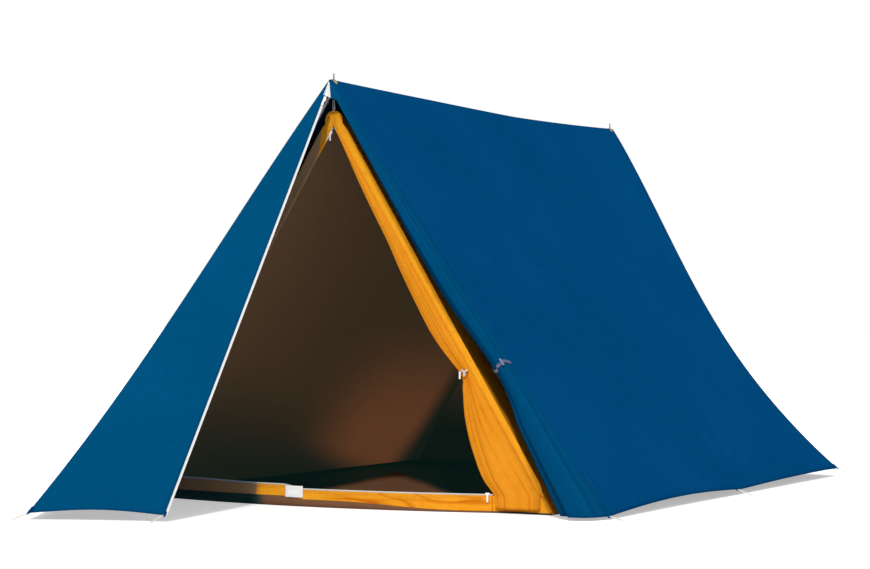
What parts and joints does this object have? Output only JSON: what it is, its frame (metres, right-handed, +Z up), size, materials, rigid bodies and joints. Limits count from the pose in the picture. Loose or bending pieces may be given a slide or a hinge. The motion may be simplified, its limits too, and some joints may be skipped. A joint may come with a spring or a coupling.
{
  "type": "ridge tent",
  "caption": "Ridge tent with a flysheet, an open front porch, an inner tent with a sewn-in floor and upright poles under a sagging ridge.",
  "frame": {"origin": "on the ground under the front pole's spike, halfway between the two front feet", "axes": "+X to the right of someone looking in at the door, +Y to the rear along the ridge, +Z up"},
  "size_m": [2.1404, 3.3369, 1.422],
  "materials": {
    "blue_fly_cloth": "proofed close weave, dull",
    "orange_inner_cloth": "light cotton, matt",
    "brown_groundsheet": "coated sheet, faint sheen",
    "pole_steel": "zinc plated, satin",
    "brass": "satin",
    "white_zip_tape": "woven tape with moulded teeth",
    "white_plastic": "moulded, satin",
    "pale_elastic": "braided cord",
    "grey_webbing": "woven tape",
    "black_rubber": "moulded, matt",
    "blank_label": "plain woven tag, blank"
  },
  "bodies": {
    "root": {"fly_slope_left": "blue_fly_cloth", "fly_slope_right": "blue_fly_cloth", "fly_rear_left": "blue_fly_cloth", "fly_rear_right": "blue_fly_cloth", "porch_side_left": "blue_fly_cloth", "porch_top_right": "blue_fly_cloth", "porch_right_rolled": "blue_fly_cloth", "roll_strap": "grey_webbing", "fly_zip_closed_top": "white_zip_tape", "front_eyelet": "brass", "rear_eyelet": "brass", "peg_loop_front_left": "pale_elastic", "peg_loop_front_right": "pale_elastic", "peg_loop_middle_left": "pale_elastic", "peg_loop_middle_right": "pale_elastic", "peg_loop_rear_left": "pale_elastic", "peg_loop_rear_right": "pale_elastic", "peg_loop_rear_centre": "pale_elastic", "peg_loop_fold": "pale_elastic", "front_pole_elbow": "pole_steel", "front_leg_left_upper": "pole_steel", "front_leg_left_lower": "pole_steel", "front_leg_right_upper": "pole_steel", "front_leg_right_lower": "pole_steel", "front_foot_left": "black_rubber", "front_foot_right": "black_rubber", "front_hanger_ring": "pole_steel", "front_hanger_cord": "pale_elastic", "rear_pole_top": "pole_steel", "rear_pole_upper": "pole_steel", "rear_pole_lower": "pole_steel", "rear_foot": "black_rubber", "rear_hanger_ring": "pole_steel", "rear_hanger_cord": "pale_elastic", "inner_wall_left": "orange_inner_cloth", "inner_wall_right": "orange_inner_cloth", "inner_rear_wall": "orange_inner_cloth", "inner_front_left": "orange_inner_cloth", "inner_front_right": "orange_inner_cloth", "inner_sill": "orange_inner_cloth", "inner_door": "orange_inner_cloth", "groundsheet": "brown_groundsheet", "door_tie_cord": "pale_elastic", "sill_zip_tape": "white_zip_tape", "door_zip_tape_left": "white_zip_tape", "door_zip_tape_right": "white_zip_tape", "sewn_label": "blank_label"},
    "porch_leaf": {"porch_leaf_left": "blue_fly_cloth", "fly_zip_tape": "white_zip_tape", "peg_loop_zip": "pale_elastic"},
    "fly_slider": {"fly_zip_slider": "white_plastic"},
    "fly_pull": {"fly_zip_pull": "white_plastic"},
    "roll_toggle_body": {"roll_toggle": "grey_webbing"},
    "door_toggle_body": {"door_toggle": "white_plastic"},
    "door_slider": {"door_zip_slider": "white_plastic"},
    "door_pull": {"door_zip_pull": "white_plastic"},
    "sill_slider": {"sill_zip_slider": "white_plastic"},
    "sill_pull": {"sill_zip_pull": "white_plastic"}
  },
  "joints": [
    {"name": "porch_leaf_fold", "type": "hinge", "parent": "root", "child": "porch_leaf", "pos_m": [-0.533, -0.909, 0.02], "axis": [-0.3095, -0.5121, -0.8012], "range_deg": [0, 180]},
    {"name": "fly_zip_travel", "type": "slide", "parent": "porch_leaf", "child": "fly_slider", "axis": [-0.0835, -0.468, -0.8798], "range_m": [0, 1.45]},
    {"name": "fly_pull_swing", "type": "hinge", "parent": "fly_slider", "child": "fly_pull", "pos_m": [0.00291, -0.06416, 1.33254], "axis": [-0.946, -0.2402, 0.2176], "range_deg": [0, 150]},
    {"name": "door_zip_travel", "type": "slide", "parent": "root", "child": "door_slider", "axis": [-0.5356, 0, -0.8445], "range_m": [0, 1.355]},
    {"name": "door_pull_swing", "type": "hinge", "parent": "door_slider", "child": "door_pull", "pos_m": [-0.01191, -0.004, 1.22534], "axis": [-1, 0, 0], "range_deg": [0, 150]},
    {"name": "sill_zip_travel", "type": "hinge", "parent": "root", "child": "sill_slider", "pos_m": [-0.08, 2.30136, 0], "axis": [0, 0, -1], "range_deg": [0, 31.5]},
    {"name": "sill_pull_swing", "type": "hinge", "parent": "sill_slider", "child": "sill_pull", "pos_m": [0.5841, -0.02091, 0.0587], "axis": [-0.9615, -0.2749, 0], "range_deg": [0, 150]},
    {"name": "door_toggle_turn", "type": "hinge", "parent": "root", "child": "door_toggle_body", "pos_m": [0.48143, -0.01378, 0.433], "axis": [0, -1, 0], "range_deg": [-90, 90]},
    {"name": "roll_toggle_turn", "type": "hinge", "parent": "root", "child": "roll_toggle_body", "pos_m": [0.66385, -0.07568, 0.4782], "axis": [0.5433, -0.7357, 0.4044], "range_deg": [-90, 90]}
  ]
}
